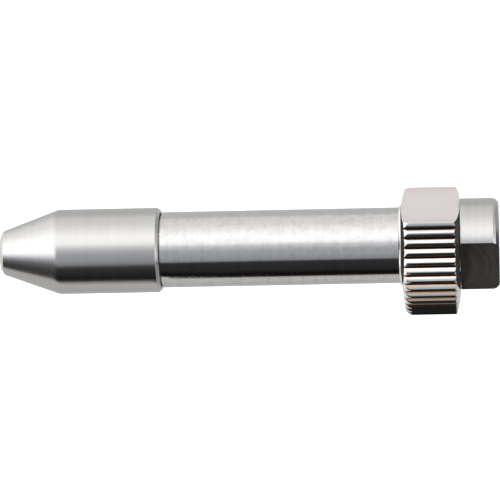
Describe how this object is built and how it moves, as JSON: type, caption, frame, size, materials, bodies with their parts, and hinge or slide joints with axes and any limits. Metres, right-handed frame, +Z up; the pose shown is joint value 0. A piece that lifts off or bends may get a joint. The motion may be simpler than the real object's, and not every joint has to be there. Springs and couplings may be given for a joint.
{
  "type": "live center",
  "caption": "Straight-shank revolving center with a truncated conical point head on ball bearings, a knurled rear collar with one flat, and a tail with wrench flats.",
  "frame": {"origin": "on the axis, halfway along the exposed ground shank, where a holder grips it", "axes": "+X along the axis from the point to the tail; +Z up, square to the knurled collar's flat"},
  "size_m": [0.1319, 0.0368, 0.0304],
  "materials": {
    "turned_steel": "fine turned steel with circumferential tool lines",
    "ground_steel": "cylindrically ground, bright",
    "bearing_steel": "polished hardened steel",
    "spring_steel": "dark tempered",
    "brass": "satin",
    "rubber": "matt",
    "felt": "pressed felt"
  },
  "bodies": {
    "shank": {"shank_tube": "ground_steel", "front_seal_ring": "felt", "thrust_housing_washer": "bearing_steel", "front_outer_race": "bearing_steel", "bearing_retaining_ring": "spring_steel", "rear_outer_race": "bearing_steel", "tail_plug": "turned_steel", "tail_o_ring": "rubber", "grease_plug_screw": "spring_steel"},
    "spindle": {"point_head": "turned_steel", "spindle_shaft": "ground_steel", "thrust_shaft_washer": "bearing_steel", "front_inner_race": "bearing_steel", "inner_spacer": "turned_steel", "rear_inner_race": "bearing_steel", "tab_washer": "spring_steel", "spindle_locknut": "spring_steel"},
    "thrust_balls": {"thrust_cage": "brass", "thrust_ball_1": "bearing_steel", "thrust_ball_2": "bearing_steel", "thrust_ball_3": "bearing_steel", "thrust_ball_4": "bearing_steel", "thrust_ball_5": "bearing_steel", "thrust_ball_6": "bearing_steel", "thrust_ball_7": "bearing_steel", "thrust_ball_8": "bearing_steel"},
    "front_balls": {"front_cage": "brass", "front_ball_1": "bearing_steel", "front_ball_2": "bearing_steel", "front_ball_3": "bearing_steel", "front_ball_4": "bearing_steel", "front_ball_5": "bearing_steel", "front_ball_6": "bearing_steel", "front_ball_7": "bearing_steel", "front_ball_8": "bearing_steel"},
    "rear_balls": {"rear_cage": "brass", "rear_ball_1": "bearing_steel", "rear_ball_2": "bearing_steel", "rear_ball_3": "bearing_steel", "rear_ball_4": "bearing_steel", "rear_ball_5": "bearing_steel", "rear_ball_6": "bearing_steel", "rear_ball_7": "bearing_steel", "rear_ball_8": "bearing_steel"},
    "preload": {"preload_plunger": "turned_steel", "cross_pin": "ground_steel", "wave_spring": "spring_steel"},
    "collar": {"knurled_collar": "turned_steel", "collar_closing_ring": "turned_steel", "collar_friction_ring": "rubber"}
  },
  "joints": [
    {"name": "spindle_spin", "type": "hinge", "parent": "shank", "child": "spindle", "pos_m": [0, 0, 0], "axis": [1, 0, 0], "continuous": true},
    {"name": "thrust_cage_spin", "type": "hinge", "parent": "shank", "child": "thrust_balls", "pos_m": [0, 0, 0], "axis": [1, 0, 0], "continuous": true},
    {"name": "front_cage_spin", "type": "hinge", "parent": "shank", "child": "front_balls", "pos_m": [0, 0, 0], "axis": [1, 0, 0], "continuous": true},
    {"name": "rear_cage_spin", "type": "hinge", "parent": "shank", "child": "rear_balls", "pos_m": [0, 0, 0], "axis": [1, 0, 0], "continuous": true},
    {"name": "preload_slide", "type": "slide", "parent": "shank", "child": "preload", "axis": [-1, 0, 0], "range_m": [0, 0.0008]},
    {"name": "collar_turn", "type": "hinge", "parent": "preload", "child": "collar", "pos_m": [0, 0, 0], "axis": [-1, 0, 0], "range_deg": [0, 288]}
  ],
  "couplings": [
    {"joint": "thrust_cage_spin", "follows": "spindle_spin", "ratio": 0.5},
    {"joint": "front_cage_spin", "follows": "spindle_spin", "ratio": 0.4008},
    {"joint": "rear_cage_spin", "follows": "spindle_spin", "ratio": 0.4008},
    {"joint": "preload_slide", "follows": "collar_turn", "m_per_rad": 0.00015915}
  ]
}
